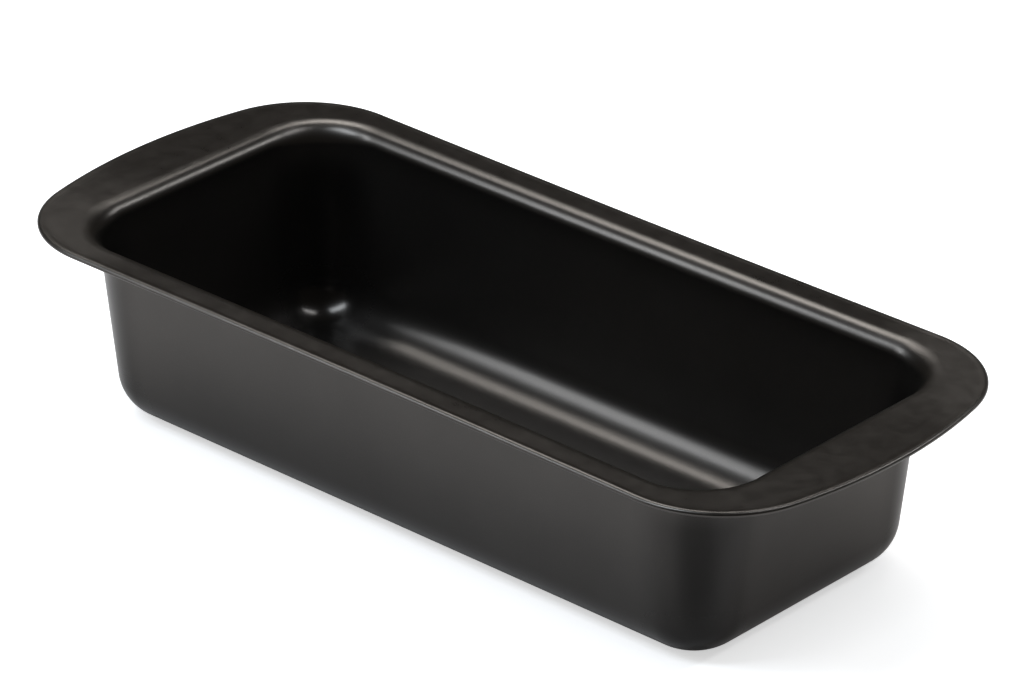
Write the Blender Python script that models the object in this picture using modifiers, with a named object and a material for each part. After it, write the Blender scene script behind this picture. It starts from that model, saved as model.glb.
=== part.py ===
"""A loaf pan, deep drawn from one sheet of non-stick coated steel.

The walls lean out by a constant draft from a flat floor, and turn over a shoulder into a flat rim. The rim is
narrow along the sides and wide at the ends, where hands take hold. Its edge bends down over a wide radius and
curls under over a tight one. The long sides draw in a little towards their middle, as a drawn sheet does when it
springs back.
Metres, +Z up, long axis on X, origin under the middle of the floor.
"""

from math import atan2, cos, pi, radians, sin, sqrt, tan

import bmesh
import bpy

# The sheet and the drawn body. The opening is measured where the walls, carried on straight, meet the rim's plane.
SHEET = 0.0006
HEIGHT = 0.0627
OPENING_LENGTH = 0.2517
OPENING_WIDTH = 0.1095
OPENING_CORNER = 0.0227
DRAFT = radians(6.1)
FLOOR_BEND = 0.0142
SHOULDER_BEND = 0.0055
SIDE_WAIST = 0.0009

# The rim: its width beside a long wall and at the middle of an end, and the curves of its outline.
SIDE_RIM = 0.0128
END_RIM = 0.02465
END_CURVE = 0.1785
RIM_CORNER = 0.0355

# The turned edge: the bend down and the curl under it, each by its outer radius and how far it turns, and the soft
# step by which the edge stands above the flat of the rim.
EDGE_RADIUS = 0.0017
EDGE_TURN = radians(60.0)
CURL_RADIUS = 0.0007
CURL_TURN = radians(195.0)
EDGE_RISE = 0.0001
RISE_WIDTH = 0.0016

# The tightest corner that the flat of the floor may come down to.
LEAST_FLOOR_CORNER = 0.001

# Facets in a quarter of the pan: along a plan outline, and across each bend of the sheet.
SIDE_FACETS = 4
CORNER_FACETS = 9
END_FACETS = 5
BEND_FACETS = 7
RISE_FACETS = 3
EDGE_FACETS = 4
CURL_FACETS = 13

COATING_COLOUR = (0.046, 0.043, 0.040, 1.0)
COATING_ROUGHNESS = 0.34
COATING_METALLIC = 0.75

# Between the leaning wall and either level face, a bend turns through this angle, and reaches this many radii
# along each of the two faces that it joins.
BEND_TURN = pi / 2 - DRAFT
BEND_REACH = tan(BEND_TURN / 2)

HALF_LENGTH = OPENING_LENGTH / 2 + END_RIM
HALF_WIDTH = OPENING_WIDTH / 2 + SIDE_RIM
FLAT_HEIGHT = HEIGHT - EDGE_RISE

# How far inside the outline the edge starts to bend down.
EDGE_WIDTH = EDGE_RADIUS * sin(EDGE_TURN) + CURL_RADIUS * (1 - sin(EDGE_TURN))


def clear_scene():
    for thing in list(bpy.data.objects):
        bpy.data.objects.remove(thing, do_unlink=True)


def arc(centre, radius, start, turn, facets):
    """Points on an arc, both ends included."""
    angles = [start + turn * step / facets for step in range(facets + 1)]
    return [(centre[0] + radius * cos(angle), centre[1] + radius * sin(angle)) for angle in angles]


def straight(first, last, facets):
    """Points on a straight line from `first`, which is included, to `last`, which is not."""
    shares = [step / facets for step in range(facets)]
    return [tuple(a + (b - a) * share for a, b in zip(first, last)) for share in shares]


def opening_outline(out):
    """A quarter of a rounded rectangle, the opening's outline moved out level by `out`, from the side to the end."""
    straight_x = OPENING_LENGTH / 2 - OPENING_CORNER
    straight_y = OPENING_WIDTH / 2 - OPENING_CORNER
    corner = arc((straight_x, straight_y), OPENING_CORNER + out, pi / 2, -pi / 2, CORNER_FACETS)
    side_middle = (0.0, corner[0][1])
    end_middle = (corner[-1][0], 0.0)
    side = straight(side_middle, corner[0], SIDE_FACETS)
    return side + corner[:-1] + straight(corner[-1], end_middle, END_FACETS) + [end_middle]


def rim_outline(inset):
    """A quarter of the rim's outline moved in level by `inset`: a straight side, a corner and a bowed end."""
    bow_x = HALF_LENGTH - END_CURVE
    corner_y = HALF_WIDTH - RIM_CORNER
    corner_x = bow_x + sqrt((END_CURVE - RIM_CORNER) ** 2 - corner_y**2)
    meet = atan2(corner_y, corner_x - bow_x)
    corner = arc((corner_x, corner_y), RIM_CORNER - inset, pi / 2, meet - pi / 2, CORNER_FACETS)
    bow = arc((bow_x, 0.0), END_CURVE - inset, meet, -meet, END_FACETS)
    side = straight((0.0, HALF_WIDTH - inset), corner[0], SIDE_FACETS)
    return side + corner + bow[1:]


def drawn_in(x, y, z):
    """The point (x, y, z) with its side's waist: most at the middle of the rim, none at the ends or the floor."""
    share = (1 - (x / HALF_LENGTH) ** 2) ** 2 * z / HEIGHT
    return (x, y * (1 - share * SIDE_WAIST / HALF_WIDTH), z)


def floor_bend():
    """Centre and radius of the bend from floor to wall, no larger than the wall's corners leave room for."""
    foot = -(FLAT_HEIGHT - SHEET) * tan(DRAFT)
    room = OPENING_CORNER + foot - LEAST_FLOOR_CORNER
    radius = min(FLOOR_BEND, room / BEND_REACH)
    return (foot - radius * BEND_REACH, SHEET + radius), radius


def wall_rows():
    """The inside of the sheet from the floor's edge to the flat of the rim, as (moved out by, height)."""
    centre, radius = floor_bend()
    up = arc(centre, radius, -pi / 2, BEND_TURN, BEND_FACETS)
    shoulder = (SHOULDER_BEND * BEND_REACH, FLAT_HEIGHT - SHOULDER_BEND)
    over = arc(shoulder, SHOULDER_BEND, pi / 2 + BEND_TURN, -BEND_TURN, BEND_FACETS)
    return up + over


def rise_rows():
    """The soft step from the flat of the rim up to the turned edge, as (moved in by, height)."""
    rows = []
    for step in range(RISE_FACETS):
        share = step / RISE_FACETS
        risen = EDGE_RISE * (1 - cos(pi * share)) / 2
        rows.append((EDGE_WIDTH + RISE_WIDTH * (1 - share), FLAT_HEIGHT + risen))
    return rows


def edge_rows():
    """The turned edge from its top, out, down and back under the rim, as (moved in by, height)."""
    centre = (-EDGE_WIDTH, HEIGHT - EDGE_RADIUS)
    facing = pi / 2 - EDGE_TURN
    down = arc(centre, EDGE_RADIUS, pi / 2, -EDGE_TURN, EDGE_FACETS)
    apart = EDGE_RADIUS - CURL_RADIUS
    curl_centre = (centre[0] + apart * cos(facing), centre[1] + apart * sin(facing))
    under = arc(curl_centre, CURL_RADIUS, facing, -CURL_TURN, CURL_FACETS)
    return [(-out, height) for out, height in down[:-1] + under]


def quarter_surface():
    """A quarter of the pan's inner and upper surface, open at both planes of symmetry and at the cut edge."""
    sections = [[drawn_in(x, y, z) for x, y in opening_outline(out)] for out, z in wall_rows()]
    sections += [[drawn_in(x, y, z) for x, y in rim_outline(inset)] for inset, z in rise_rows() + edge_rows()]
    shape = bmesh.new()
    rings = [[shape.verts.new(point) for point in section] for section in sections]
    middle = shape.verts.new((0.0, 0.0, SHEET))
    shape.faces.new([middle] + rings[0][::-1])
    for lower, upper in zip(rings, rings[1:]):
        for left in range(len(lower) - 1):
            right = left + 1
            shape.faces.new((lower[left], lower[right], upper[right], upper[left]))
    return shape


def coating():
    material = bpy.data.materials.new("nonstick_coating")
    material.use_nodes = True
    surface = material.node_tree.nodes["Principled BSDF"]
    surface.inputs["Base Color"].default_value = COATING_COLOUR
    surface.inputs["Roughness"].default_value = COATING_ROUGHNESS
    surface.inputs["Metallic"].default_value = COATING_METALLIC
    material.diffuse_color = COATING_COLOUR
    return material


def pan_body(collection):
    """The whole pan: the quarter mirrored both ways, then given the sheet's thickness on its outer side."""
    shape = quarter_surface()
    mesh = bpy.data.meshes.new("pan_body")
    shape.to_mesh(mesh)
    shape.free()
    mesh.shade_smooth()
    mesh.materials.append(coating())
    body = bpy.data.objects.new("pan_body", mesh)
    collection.objects.link(body)
    mirror = body.modifiers.new("Mirror", "MIRROR")
    mirror.use_axis = (True, True, False)
    mirror.merge_threshold = 0.00001
    sheet = body.modifiers.new("Sheet", "SOLIDIFY")
    sheet.thickness = SHEET
    sheet.offset = -1.0
    sheet.use_even_offset = True
    sheet.use_quality_normals = True
    return body


def main():
    clear_scene()
    collection = bpy.data.collections.new("loaf_pan")
    bpy.context.scene.collection.children.link(collection)
    pan_body(collection)


main()
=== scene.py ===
from math import cos, pi, radians, sin

import bpy
from mathutils import Matrix, Vector


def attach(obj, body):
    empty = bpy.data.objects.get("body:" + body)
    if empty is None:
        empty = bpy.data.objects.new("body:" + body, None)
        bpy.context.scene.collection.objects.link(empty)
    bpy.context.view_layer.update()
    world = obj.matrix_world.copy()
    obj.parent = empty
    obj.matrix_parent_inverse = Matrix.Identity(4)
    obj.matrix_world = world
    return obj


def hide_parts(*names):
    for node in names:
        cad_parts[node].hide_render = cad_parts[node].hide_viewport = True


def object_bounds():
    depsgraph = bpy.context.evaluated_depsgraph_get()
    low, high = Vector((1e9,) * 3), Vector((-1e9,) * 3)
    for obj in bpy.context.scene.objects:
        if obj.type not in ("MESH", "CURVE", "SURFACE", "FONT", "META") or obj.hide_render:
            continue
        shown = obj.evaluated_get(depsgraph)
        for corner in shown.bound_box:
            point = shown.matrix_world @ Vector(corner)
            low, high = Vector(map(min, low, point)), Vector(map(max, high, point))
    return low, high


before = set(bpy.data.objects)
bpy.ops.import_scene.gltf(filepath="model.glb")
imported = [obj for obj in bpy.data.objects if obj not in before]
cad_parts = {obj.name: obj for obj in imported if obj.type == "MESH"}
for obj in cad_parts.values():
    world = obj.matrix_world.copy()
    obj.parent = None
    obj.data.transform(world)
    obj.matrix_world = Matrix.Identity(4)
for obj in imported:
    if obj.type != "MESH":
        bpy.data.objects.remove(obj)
CAD_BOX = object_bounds()

# ---------------------------------------------------------------- sizes, in metres

# The sheet and the drawn body. Round its corners the shoulder's bend widens by the corner ease.
SHEET = 0.0006
HEIGHT = CAD_BOX[1].z - CAD_BOX[0].z
HALF_LENGTH = (CAD_BOX[1].x - CAD_BOX[0].x) / 2
OPENING_LENGTH = 0.2517
OPENING_WIDTH = 0.1095
OPENING_CORNER = 0.0227
DRAFT = radians(6.1)
FLOOR_BEND = 0.0142
SHOULDER_BEND = 0.0055
CORNER_EASE = 0.0016
SIDE_WAIST = 0.0009

# The rim's outline: its width beside a long wall, its corners, and the bow of its ends.
SIDE_RIM = 0.0128
HALF_WIDTH = OPENING_WIDTH / 2 + SIDE_RIM
END_CURVE = 0.1785
RIM_CORNER = 0.0355

# The turned edge: the bend down, the curl under it, and the soft step up to them.
EDGE_RADIUS = 0.0013
EDGE_TURN = radians(60.0)
CURL_RADIUS = 0.0007
CURL_TURN = radians(195.0)
EDGE_RISE = 0.0001
RISE_WIDTH = 0.0016

# How finely a quarter of the pan is divided along its outline, and each stretch of the sheet across it.
SIDE_STEPS = 14
CORNER_STEPS = 26
END_STEPS = 14
FLOOR_STEPS = 4
FLOOR_BEND_STEPS = 22
WALL_STEPS = 8
SHOULDER_STEPS = 18
RIM_STEPS = 6
RISE_STEPS = 6
EDGE_STEPS = 12
CURL_STEPS = 26

# Points nearer than this, where the sheet meets itself, become one.
SEAM_GAP = 0.000002

# How far across the turned edge a point of the sheet is: 0 on the rim, 0.5 where the curl starts, 1 at the cut.
EDGE_ATTRIBUTE = "edge"


# ---------------------------------------------------------------- node trees

class Value:
    """A number in a node tree, which takes part in ordinary arithmetic."""

    def __init__(self, tree, socket):
        self.tree = tree
        self.socket = socket

    def maths(self, operation, *numbers):
        return self.tree.add("ShaderNodeMath", {"operation": operation}, dict(enumerate(numbers)))

    def __add__(self, other):
        return self.maths("ADD", self, other)

    def __radd__(self, other):
        return self.maths("ADD", other, self)

    def __sub__(self, other):
        return self.maths("SUBTRACT", self, other)

    def __rsub__(self, other):
        return self.maths("SUBTRACT", other, self)

    def __mul__(self, other):
        return self.maths("MULTIPLY", self, other)

    def __rmul__(self, other):
        return self.maths("MULTIPLY", other, self)

    def __truediv__(self, other):
        return self.maths("DIVIDE", self, other)

    def __rtruediv__(self, other):
        return self.maths("DIVIDE", other, self)

    def __pow__(self, other):
        return self.maths("POWER", self, other)

    def sine(self):
        return self.maths("SINE", self)

    def cosine(self):
        return self.maths("COSINE", self)

    def root(self):
        return self.maths("SQRT", self)

    def sign(self):
        return self.maths("SIGN", self)

    def size(self):
        return self.maths("ABSOLUTE", self)

    def back_and_forth(self, top):
        return self.maths("PINGPONG", self, top)

    def tangent(self):
        return self.maths("TANGENT", self)

    def arcsine(self):
        return self.maths("ARCSINE", self)

    def at_least(self, other):
        return self.maths("MAXIMUM", self, other)

    def over(self, first, last, easing="LINEAR"):
        """The share of the way from `first` to `last`, held between 0 and 1."""
        settings = {"clamp": True, "interpolation_type": easing}
        ends = {"From Min": first, "From Max": last, "To Min": 0.0, "To Max": 1.0}
        return self.tree.add("ShaderNodeMapRange", settings, {"Value": self, **ends})

    def soft_over(self, first, last):
        """The same share, starting and ending gently."""
        return self.over(first, last, "SMOOTHSTEP")


class Tree:
    """Adds nodes to one tree, of a material, of the room or of a shape."""

    def __init__(self, nodes_of):
        self.nodes_of = nodes_of

    def add(self, kind, settings=None, sockets=None, out=0):
        """One node: its type, its settings, the values or links of its sockets, and the output to hand back."""
        node = self.nodes_of.nodes.new(kind)
        for name, setting in (settings or {}).items():
            setattr(node, name, setting)
        for name, given in (sockets or {}).items():
            self.put(given, node.inputs[name])
        return Value(self, node.outputs[out]) if node.outputs else None

    def put(self, given, socket):
        if isinstance(given, Value):
            self.nodes_of.links.new(given.socket, socket)
        else:
            socket.default_value = given

    def point(self, x, y, z):
        return self.add("ShaderNodeCombineXYZ", None, {"X": x, "Y": y, "Z": z})

    def axes(self, vector):
        split = self.add("ShaderNodeSeparateXYZ", None, {"Vector": vector}).socket.node
        return [Value(self, socket) for socket in split.outputs]

    def noise(self, place, scale, detail, roughness):
        sockets = {"Vector": place, "Scale": scale, "Detail": detail, "Roughness": roughness}
        return self.add("ShaderNodeTexNoise", None, sockets)

    def blend(self, share, first, second):
        """A colour that goes from `first` to `second` as `share` goes from 0 to 1."""
        settings = {"data_type": "RGBA", "blend_type": "MIX"}
        return self.add("ShaderNodeMix", settings, {0: share, 6: first, 7: second}, 2)


def empty_tree(owner):
    """The node tree of a material or of a world, with nothing in it yet."""
    owner.use_nodes = True
    owner.node_tree.nodes.clear()
    return Tree(owner.node_tree)


# ---------------------------------------------------------------- the pressed sheet

PAN_SIZES = {
    "Sheet": SHEET,
    "Height": HEIGHT,
    "Half length": HALF_LENGTH,
    "Half width": HALF_WIDTH,
    "Opening length": OPENING_LENGTH,
    "Opening width": OPENING_WIDTH,
    "Opening corner": OPENING_CORNER,
    "Draft": DRAFT,
    "Floor bend": FLOOR_BEND,
    "Shoulder bend": SHOULDER_BEND,
    "Corner ease": CORNER_EASE,
    "Side waist": SIDE_WAIST,
    "End curve": END_CURVE,
    "Rim corner": RIM_CORNER,
    "Edge radius": EDGE_RADIUS,
    "Edge turn": EDGE_TURN,
    "Curl radius": CURL_RADIUS,
    "Curl turn": CURL_TURN,
    "Edge rise": EDGE_RISE,
    "Rise width": RISE_WIDTH,
}


def steps_along(steps):
    """The running totals of a list of step counts, from 0."""
    totals = [0]
    for count in steps:
        totals.append(totals[-1] + count)
    return totals


def pressed_sheet_tree():
    """The inner and upper face of the pan: one grid, its columns round the pan and its rows across the sheet."""
    group = bpy.data.node_groups.new("pressed_sheet", "GeometryNodeTree")
    for name in PAN_SIZES:
        group.interface.new_socket(name, in_out="INPUT", socket_type="NodeSocketFloat")
    group.interface.new_socket("Finish", in_out="INPUT", socket_type="NodeSocketMaterial")
    group.interface.new_socket("Pan", in_out="OUTPUT", socket_type="NodeSocketGeometry")
    tree = Tree(group)
    given = group.nodes.new("NodeGroupInput")
    size = {name: Value(tree, given.outputs[name]) for name in PAN_SIZES}
    sheet, height, draft = size["Sheet"], size["Height"], size["Draft"]
    edge, curl, rise = size["Edge radius"], size["Curl radius"], size["Edge rise"]
    half_length, half_width = size["Half length"], size["Half width"]

    quarter = steps_along([SIDE_STEPS, CORNER_STEPS, END_STEPS])
    rows = steps_along([FLOOR_STEPS, FLOOR_BEND_STEPS, WALL_STEPS, SHOULDER_STEPS,
                        RIM_STEPS, RISE_STEPS, EDGE_STEPS, CURL_STEPS])
    around, across = 4 * quarter[-1], rows[-1]
    grid_sockets = {"Size X": around, "Size Y": across, "Vertices X": around + 1, "Vertices Y": across + 1}
    grid = tree.add("GeometryNodeMeshGrid", None, grid_sockets)
    column, row, _ = tree.axes(tree.add("GeometryNodeInputPosition"))
    column = column + around / 2
    row = row + across / 2

    # Where a column stands: the way along a quarter's side, corner and end, and the signs of its x and y.
    place = column.back_and_forth(quarter[-1])
    along_side, along_corner, along_end = [place.over(a, b) for a, b in zip(quarter, quarter[1:])]
    side_x = (2 * quarter[-1] - column).sign()
    side_y = ((column - 2 * quarter[-1]).size() - quarter[-1]).sign()

    # Where a row stands on each stretch of the sheet, from the middle of the floor to the cut edge.
    stretches = [row.over(a, b) for a, b in zip(rows, rows[1:])]
    on_floor, on_bend, on_wall, on_shoulder, on_rim, on_rise, on_edge, on_curl = stretches

    # The section of the drawn body: how far out from the opening's outline, and how high.
    swing = along_corner * (pi / 2)
    shoulder = size["Shoulder bend"] + size["Corner ease"] * (swing * 2).sine()
    flat = height - rise
    turn = pi / 2 - draft
    reach = (turn / 2).tangent()
    bend = size["Floor bend"]
    foot = (sheet - flat) * draft.tangent()
    bend_x, bend_z = foot - bend * reach, sheet + bend
    up = on_bend * turn
    over = (1 - on_shoulder) * turn
    wall_foot_out, wall_foot_z = bend_x + bend * turn.sine(), bend_z - bend * turn.cosine()
    wall_top_out = shoulder * reach - shoulder * turn.sine()
    wall_top_z = flat - shoulder + shoulder * turn.cosine()
    out = (
        bend_x + bend * up.sine()
        + on_wall * (wall_top_out - wall_foot_out)
        + shoulder * (turn.sine() - over.sine())
    )
    level = (
        bend_z - bend * up.cosine()
        + on_wall * (wall_top_z - wall_foot_z)
        + shoulder * (over.cosine() - turn.cosine())
    )

    # The drawn body's outline there: a rounded rectangle.
    straight_x = size["Opening length"] / 2 - size["Opening corner"]
    straight_y = size["Opening width"] / 2 - size["Opening corner"]
    corner = size["Opening corner"] + out
    body_x = straight_x * along_side + corner * swing.sine()
    body_y = straight_y * (1 - along_end) + corner * swing.cosine()

    # The rim's outline there: a straight side, a corner and a bowed end.
    turned = size["Edge turn"]
    down = on_edge * turned
    under = turned + on_curl * size["Curl turn"]
    edge_width = edge * turned.sine() + curl * (1 - turned.sine())
    inset = (
        edge_width + size["Rise width"] * (1 - on_rise)
        - edge * down.sine() - curl * (under.sine() - turned.sine())
    )
    rim_level = (
        flat + rise * (1 - (on_rise * pi).cosine()) / 2
        - edge * (1 - down.cosine()) - curl * (turned.cosine() - under.cosine())
    )
    rim_corner, bow = size["Rim corner"], size["End curve"]
    bow_x = half_length - bow
    corner_y = half_width - rim_corner
    corner_x = bow_x + ((bow - rim_corner) ** 2 - corner_y ** 2).root()
    meet = (corner_y / (bow - rim_corner)).arcsine()
    tight = rim_corner - inset
    wide = bow - inset
    lean = along_corner * (pi / 2 - meet)
    swept = meet * (1 - along_end)
    rim_x = corner_x * along_side + tight * lean.sine() + wide * (swept.cosine() - meet.cosine())
    rim_y = corner_y + tight * lean.cosine() + wide * (swept.sine() - meet.sine())

    # The flat of the rim runs from the one outline to the other.
    x = (body_x + on_rim * (rim_x - body_x)) * on_floor
    y = (body_y + on_rim * (rim_y - body_y)) * on_floor
    z = level + on_rim * (rim_level - level)
    waist = (1 - (x / half_length) ** 2) ** 2 * z / height
    y = y * (1 - waist * size["Side waist"] / half_width)

    shaped = tree.add("GeometryNodeSetPosition", None,
                      {"Geometry": grid, "Position": tree.point(x * side_x, y * side_y, z)})
    marked = tree.add("GeometryNodeStoreNamedAttribute", {"data_type": "FLOAT", "domain": "POINT"},
                      {"Geometry": shaped, "Name": EDGE_ATTRIBUTE, "Value": (on_edge + on_curl) * 0.5})
    closed = tree.add("GeometryNodeMergeByDistance", None, {"Geometry": marked, "Distance": SEAM_GAP})
    smooth = tree.add("GeometryNodeSetShadeSmooth", None, {"Geometry": closed})
    real = tree.add("GeometryNodeRealizeInstances", None, {"Geometry": smooth})
    coated = tree.add("GeometryNodeSetMaterial", None,
                      {"Geometry": real, "Material": Value(tree, given.outputs["Finish"])})
    tree.add("NodeGroupOutput", None, {"Pan": coated})
    return group


def plain_mesh(thing, name):
    """The evaluated mesh of `thing`, as a new mesh with no modifiers."""
    graph = bpy.context.evaluated_depsgraph_get()
    mesh = bpy.data.meshes.new_from_object(thing.evaluated_get(graph))
    mesh.name = name
    return mesh


def pressed_pan(finish):
    """The whole pan as one closed sheet."""
    pan = bpy.data.objects.new("pan", bpy.data.meshes.new("pan"))
    bpy.context.scene.collection.objects.link(pan)
    pan.data.materials.append(finish)
    group = pressed_sheet_tree()
    shape = pan.modifiers.new("Pressed sheet", "NODES")
    shape.node_group = group
    for item in group.interface.items_tree:
        if item.in_out == "INPUT":
            shape[item.identifier] = finish if item.name == "Finish" else PAN_SIZES[item.name]
    wall = pan.modifiers.new("Thickness", "SOLIDIFY")
    wall.thickness = SHEET
    wall.offset = -1.0
    wall.use_even_offset = True
    wall.use_quality_normals = True
    mesh = plain_mesh(pan, "pan")
    pan.modifiers.clear()
    pan.data = mesh
    return pan


# ---------------------------------------------------------------- the coating

CHARCOAL = (0.071, 0.0665, 0.0625, 1.0)
WORN_CHARCOAL = (0.112, 0.105, 0.098, 1.0)
# Near-black of the painted shade on the pan.
PAINTED_SHADE_BLACK = (0.010, 0.010, 0.010, 1.0)
VIEWPORT_CHARCOAL = (0.062, 0.059, 0.056, 1.0)
BASE_ROUGHNESS = 0.265
BASE_METALLIC = 0.96
PEEL_STRENGTH = 0.12
PEEL_DEPTH = 0.00004

# Each pair gives where a mask starts and where it is full: heights, or distances from the pan's middle planes.
RIM_HEIGHT = (0.0610, 0.0622)
INSIDE_TOP = (0.050, 0.060)
GRIP_START = (0.085, 0.115)
GRIP_TIP_SPAN = (0.0024, 0.0064)
FLOOR_CORNER_X, FLOOR_CORNER_Y, FLOOR_CORNER_Z = (0.092, 0.108), (0.024, 0.038), (0.006, 0.024)
WALL_CORNER_X, WALL_CORNER_Y, WALL_CORNER_Z = (0.096, 0.116), (0.026, 0.044), (0.045, 0.060)
WORN_FROM, WORN_TO = (0.15, 0.42), (0.62, 0.8)


def nonstick_coating():
    """Charcoal non-stick coating: satin, faintly speckled, with the fine orange peel that spraying leaves."""
    material = bpy.data.materials.new("nonstick_coating")
    tree = empty_tree(material)
    place = tree.add("ShaderNodeTexCoord", None, None, "Object")
    x, y, z = tree.axes(place)
    out_x, out_y = x.size(), y.size()

    # The sprayed finish: orange peel, pigment specks, and slow drifts in gloss.
    peel = tree.noise(place, 1400.0, 2.0, 0.5)
    speck = tree.noise(place, 2600.0, 1.0, 0.6)
    cloud = tree.noise(place, 26.0, 4.0, 0.55)
    blotch = tree.noise(place, 210.0, 3.0, 0.65).over(0.35, 0.65)

    # Two opposite tips of the grips, lighter and rougher; and wear on the top of the turned edge.
    patch = tree.noise(place, 38.0, 3.0, 0.6)
    flange = z.over(*RIM_HEIGHT)
    tips = (x * y + patch.over(0.3, 0.7) * 0.0014).over(*GRIP_TIP_SPAN)
    lighter_grip_tips = tips * out_x.soft_over(*GRIP_START) * flange
    along = tree.add("ShaderNodeAttribute", {"attribute_name": EDGE_ATTRIBUTE}, None, "Fac")
    worn = along.over(*WORN_FROM) * (1 - along.over(*WORN_TO))

    # Coating pools glossy in the floor's corners inside. Painted shade darkens the whole pan a little below the rim,
    # and its upright corners much more.
    in_floor_corner = out_x.soft_over(*FLOOR_CORNER_X) * out_y.soft_over(*FLOOR_CORNER_Y)
    pooled = in_floor_corner * (1 - z.soft_over(*FLOOR_CORNER_Z))
    in_wall_corner = out_x.soft_over(*WALL_CORNER_X) * out_y.soft_over(*WALL_CORNER_Y)
    corner_shade = in_wall_corner * (1 - z.soft_over(*WALL_CORNER_Z))
    inside = 1 - z.soft_over(*INSIDE_TOP)

    roughness = (
        BASE_ROUGHNESS + cloud * 0.04 + speck * 0.03 + lighter_grip_tips * 0.09
        + flange * (blotch - 0.5) * 0.035 - worn * 0.09 - pooled * 0.09
    )
    bright = (
        speck.over(0.55, 0.8) * 0.3 + cloud.over(0.3, 0.7) * 0.25 + lighter_grip_tips * 0.45
        + flange * blotch * 0.2 + worn * 0.3
    )
    # Painted shade: a little below the rim's height, much more in the upright corners.
    painted_shade = inside * (0.12 + corner_shade * 0.58)
    metal = BASE_METALLIC - inside * 0.06
    colour = tree.blend(painted_shade, tree.blend(bright, CHARCOAL, WORN_CHARCOAL), PAINTED_SHADE_BLACK)
    bump = tree.add("ShaderNodeBump", None,
                    {"Strength": PEEL_STRENGTH, "Distance": PEEL_DEPTH, "Height": peel})
    surface = tree.add("ShaderNodeBsdfPrincipled", None, {
        "Base Color": colour, "Metallic": metal, "Roughness": roughness, "Normal": bump})
    tree.add("ShaderNodeOutputMaterial", None, {"Surface": surface})
    material.diffuse_color = VIEWPORT_CHARCOAL
    return material


# ---------------------------------------------------------------- the studio

# The floor: paper that the pan reflects, with painted shadow near the pan's foot and a painted shadow patch in front
# of one corner.
PAPER = (0.96, 0.94, 0.93, 1.0)
# Grey of the painted shadows on the paper.
SHADOW_GREY = (0.20, 0.195, 0.19, 1.0)
SHADOW_PATCH_PLACE = (0.152, -0.084)
SHADOW_PATCH_RADIUS = 0.046
SHADOW_PATCH_SHARE = 0.55
FOOT_LENGTH = 0.238
FOOT_WIDTH = 0.096
FOOT_SHADOW_REACH = 0.055
FOOT_SHADOW_SHARE = 0.26
FLOOR_REACH = 40.0

# What the camera sees of it: a white that stays white out to where the floor ends.
WHITE = (0.95, 0.95, 0.95, 1.0)
NEAR_GLOW = (0.55, 0.55, 0.55, 1.0)
FAR_GLOW = (0.95, 0.95, 0.95, 1.0)
GLOW_REACH = (0.6, 2.5)
MATT = {"Roughness": 0.9, "Specular IOR Level": 0.1}


def pale_paper():
    """Pale paper, white to look at; its painted shadows, near the pan's foot and in front of one corner, show only in
    reflections and in scattered light.
    """
    material = bpy.data.materials.new("pale_floor")
    tree = empty_tree(material)
    x, y, _ = tree.axes(tree.add("ShaderNodeTexCoord", None, None, "Object"))
    # Painted shadow: a dark patch on the paper in front of one corner of the pan.
    from_shadow_patch = ((x - SHADOW_PATCH_PLACE[0]) ** 2 + (y - SHADOW_PATCH_PLACE[1]) ** 2).root()
    shadow_patch = 1 - from_shadow_patch.soft_over(SHADOW_PATCH_RADIUS * 0.4, SHADOW_PATCH_RADIUS)
    # Painted shadow: the paper darker near the pan's foot, fading out away from it.
    past_end = (x.size() - FOOT_LENGTH / 2).at_least(0.0)
    past_side = (y.size() - FOOT_WIDTH / 2).at_least(0.0)
    foot = 1 - (past_end ** 2 + past_side ** 2).root().soft_over(0.0, FOOT_SHADOW_REACH)
    paper_colour = tree.blend(shadow_patch * SHADOW_PATCH_SHARE + foot * FOOT_SHADOW_SHARE, PAPER, SHADOW_GREY)
    paper = tree.add("ShaderNodeBsdfPrincipled", None, {"Base Color": paper_colour, **MATT})
    far = (x ** 2 + y ** 2).root().soft_over(*GLOW_REACH)
    glow = tree.blend(far, NEAR_GLOW, FAR_GLOW)
    white = tree.add("ShaderNodeBsdfPrincipled", None, {
        "Base Color": WHITE, "Emission Color": glow, "Emission Strength": 1.0, **MATT})
    seen = tree.add("ShaderNodeLightPath", None, None, "Is Camera Ray")
    surface = tree.add("ShaderNodeMixShader", None, {0: seen, 1: paper, 2: white})
    tree.add("ShaderNodeOutputMaterial", None, {"Surface": surface})
    return material


def floor():
    reach = FLOOR_REACH
    corners = [(-reach, -reach), (reach, -reach), (reach, reach), (-reach, reach)]
    mesh = bpy.data.meshes.new("floor")
    mesh.from_pydata([(x, y, CAD_BOX[0].z) for x, y in corners], [], [(0, 1, 2, 3)])
    mesh.materials.append(pale_paper())
    sheet = bpy.data.objects.new("floor", mesh)
    bpy.context.scene.collection.objects.link(sheet)


def facing(position, aim, roll):
    """The place of an object at `position` that looks at `aim` along its own -Z, turned by `roll` about that line."""
    look = (Vector(aim) - Vector(position)).to_track_quat("-Z", "Y").to_matrix().to_4x4()
    return Matrix.Translation(position) @ look @ Matrix.Rotation(roll, 4, "Z")


PAN_MIDDLE = (0.0, 0.0, 0.03)
LIGHT_DISTANCE = 1.5


def softbox(name, centre, width, height, colour, brightness, turn):
    """A soft rectangular light that faces the pan, its width level before it is turned about its own axis."""
    light = bpy.data.lights.new(name, "AREA")
    light.shape = "RECTANGLE"
    light.size = width
    light.size_y = height
    light.color = colour
    light.energy = brightness * pi * width * height
    lamp = bpy.data.objects.new(name, light)
    lamp.matrix_world = facing(centre, PAN_MIDDLE, turn)
    lamp.visible_camera = False
    bpy.context.scene.collection.objects.link(lamp)


def toward(turned, raised):
    """A light's place, `turned` degrees round from +X and `raised` degrees above level as the pan sees it."""
    turned, raised = radians(turned), radians(raised)
    level = LIGHT_DISTANCE * cos(raised)
    return (level * cos(turned), level * sin(turned), PAN_MIDDLE[2] + LIGHT_DISTANCE * sin(raised))


WARM = (1.0, 0.985, 0.965)


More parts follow.
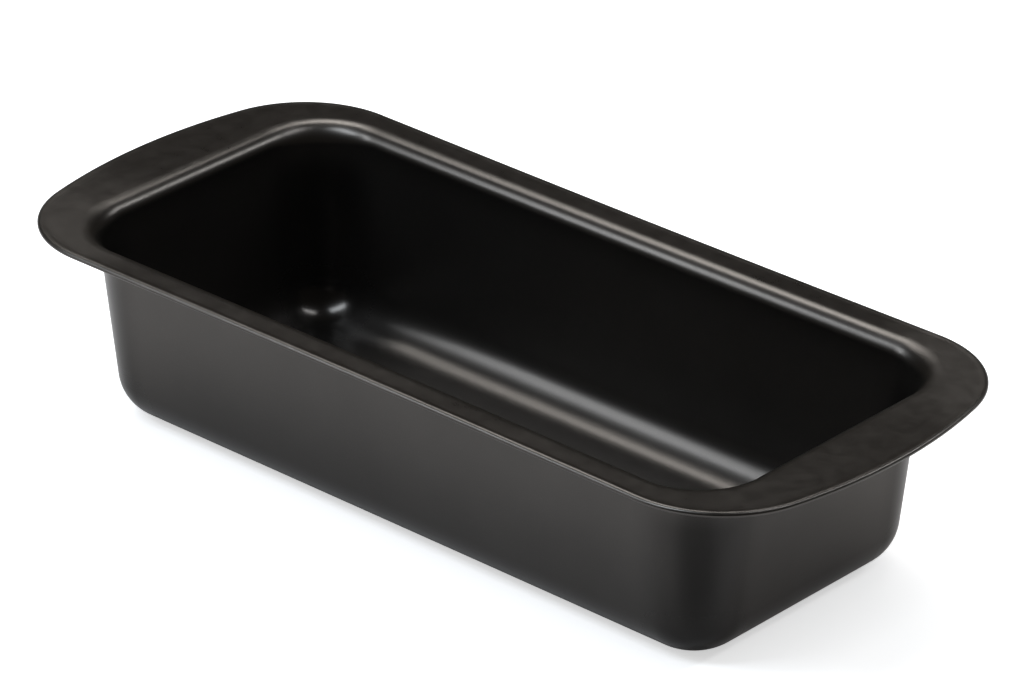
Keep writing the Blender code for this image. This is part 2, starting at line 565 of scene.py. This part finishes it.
def studio():
    """A wide pair of lights behind the pan, and two upright strips at either side of it."""
    softbox("back_strip", toward(140, 59.6), 1.60, 0.14, WARM, 8.8, radians(-5))
    softbox("back_softbox", toward(149, 58), 0.61, 0.57, WARM, 3.5, radians(13))
    softbox("left_high_strip", toward(248.7, 59), 0.27, 0.84, (0.84, 0.92, 1.0), 11.5, radians(-13))
    softbox("left_low_strip", toward(226, 33), 0.10, 0.59, (0.88, 0.94, 1.0), 22.0, radians(10))
    softbox("right_high_strip", toward(33.6, 63), 0.10, 0.78, (0.94, 0.965, 1.0), 15.5, radians(2))
    softbox("right_low_strip", toward(52.4, 36.5), 0.10, 0.60, (0.96, 0.98, 1.0), 17.5, radians(32))


CAMERA_POSITION = (1.1005, -1.2150, 0.8851)
CAMERA_AIM = (-0.01982, 0.02680, 0.030)
CAMERA_ROLL = radians(0.315)
CAMERA_LENS = 219.8
CAMERA_SENSOR = 36.0


def camera():
    data = bpy.data.cameras.new("camera")
    data.lens = CAMERA_LENS
    data.sensor_width = CAMERA_SENSOR
    data.clip_end = 200.0
    viewer = bpy.data.objects.new("camera", data)
    viewer.matrix_world = facing(CAMERA_POSITION, CAMERA_AIM, CAMERA_ROLL)
    bpy.context.scene.collection.objects.link(viewer)
    bpy.context.scene.camera = viewer


ROOM_DIMNESS = 0.05
ROOM_SCATTERED = 0.26
ROOM_WARM = (1.0, 0.85, 0.68, 1.0)
ROOM_WHITE = (1.0, 1.0, 1.0, 1.0)


def room():
    """White to look at, and dim and warm in reflections, so that the softboxes shape the pan."""
    world = bpy.data.worlds.new("room")
    tree = empty_tree(world)
    rays = tree.add("ShaderNodeLightPath").socket.node
    seen, scattered = [Value(tree, rays.outputs[name]) for name in ("Is Camera Ray", "Is Diffuse Ray")]
    strength = ROOM_DIMNESS + seen * (1 - ROOM_DIMNESS) + scattered * ROOM_SCATTERED
    colour = tree.blend(seen + scattered, ROOM_WARM, ROOM_WHITE)
    surface = tree.add("ShaderNodeBackground", None, {"Color": colour, "Strength": strength})
    tree.add("ShaderNodeOutputWorld", None, {"Surface": surface})
    bpy.context.scene.world = world


def main():
    bpy.context.scene.view_settings.view_transform = "Standard"
    pan = pressed_pan(nonstick_coating())
    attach(pan, "root")
    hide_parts("pan_body")
    floor()
    studio()
    room()
    camera()


main()
